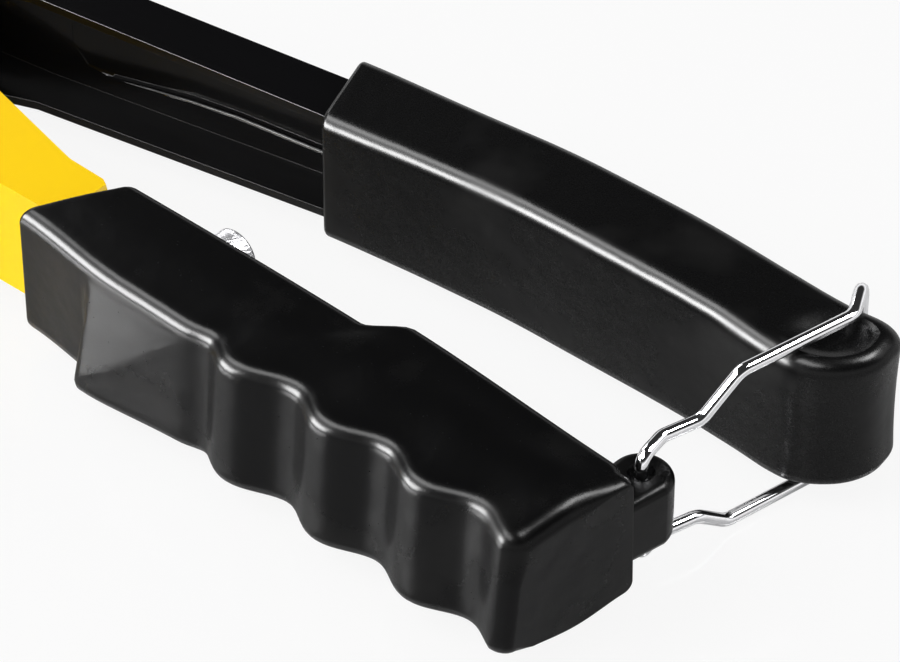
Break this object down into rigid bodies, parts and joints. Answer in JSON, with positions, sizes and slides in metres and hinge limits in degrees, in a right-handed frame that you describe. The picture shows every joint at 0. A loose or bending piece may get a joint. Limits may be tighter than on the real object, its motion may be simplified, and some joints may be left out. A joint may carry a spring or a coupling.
{
  "type": "snap setter pliers",
  "caption": "Lever pliers with a C-shaped jaw, sliding ram and dies for setting snaps, black sleeved handles and a wire bail latch.",
  "frame": {"origin": "centre of the snap seat's floor in the anvil die, on the ram's axis, in the tool's mid-plane", "axes": "+X along the handles towards their ends, +Y along the ram from the anvil towards the lever, +Z along the pivot pins"},
  "size_m": [0.2545, 0.1184, 0.0352],
  "materials": {
    "yellow_paint": "glossy yellow enamel on a die casting",
    "grip_vinyl": "glossy black vinyl",
    "sleeve_vinyl": "glossy black vinyl, smoother than the fixed grip",
    "black_paint": "glossy black enamel on pressed steel",
    "die_steel": "turned and hardened steel",
    "zinc_steel": "zinc-plated steel",
    "spring_steel": "dark tempered spring steel",
    "black_screws": "blackened steel",
    "bronze": "sintered bronze",
    "chromed_wire": "bright chromed spring wire"
  },
  "bodies": {
    "frame": {"frame_casting": "yellow_paint", "fixed_grip": "grip_vinyl", "spare_die": "die_steel", "ram_bush": "bronze", "anvil_die": "die_steel", "anvil_lock_nut": "zinc_steel", "ram_key_screw": "black_screws", "pivot_pin": "zinc_steel", "pivot_washers": "zinc_steel", "pivot_clip": "spring_steel", "return_spring": "spring_steel"},
    "lever": {"lever_channel": "black_paint", "lever_grip": "sleeve_vinyl", "roller_pin": "zinc_steel", "roller_spacers": "zinc_steel", "roller_clips": "spring_steel"},
    "roller": {"press_roller": "die_steel"},
    "ram": {"ram": "die_steel", "ram_die": "die_steel", "ram_die_screw": "black_screws"},
    "bail": {"wire_bail": "chromed_wire"}
  },
  "joints": [
    {"name": "lever_pivot", "type": "hinge", "parent": "frame", "child": "lever", "pos_m": [-0.026, 0.047, 0], "axis": [0, 0, -1], "range_deg": [0, 2.6], "stiffness_Nm_per_rad": 1.35, "springref_deg": -22.06},
    {"name": "roller_spin", "type": "hinge", "parent": "lever", "child": "roller", "pos_m": [0, 0.048, 0], "axis": [0, 0, 1], "continuous": true},
    {"name": "ram_slide", "type": "slide", "parent": "frame", "child": "ram", "axis": [0, -1, 0], "range_m": [0, 0.00118], "deforming": ["return_spring"]},
    {"name": "bail_swing", "type": "hinge", "parent": "frame", "child": "bail", "pos_m": [0.2015, 0.0376, 0], "axis": [0, 0, 1], "range_deg": [-110, 0]}
  ],
  "couplings": [
    {"joint": "ram_slide", "follows": "lever_pivot", "m_per_rad": 0.026}
  ]
}
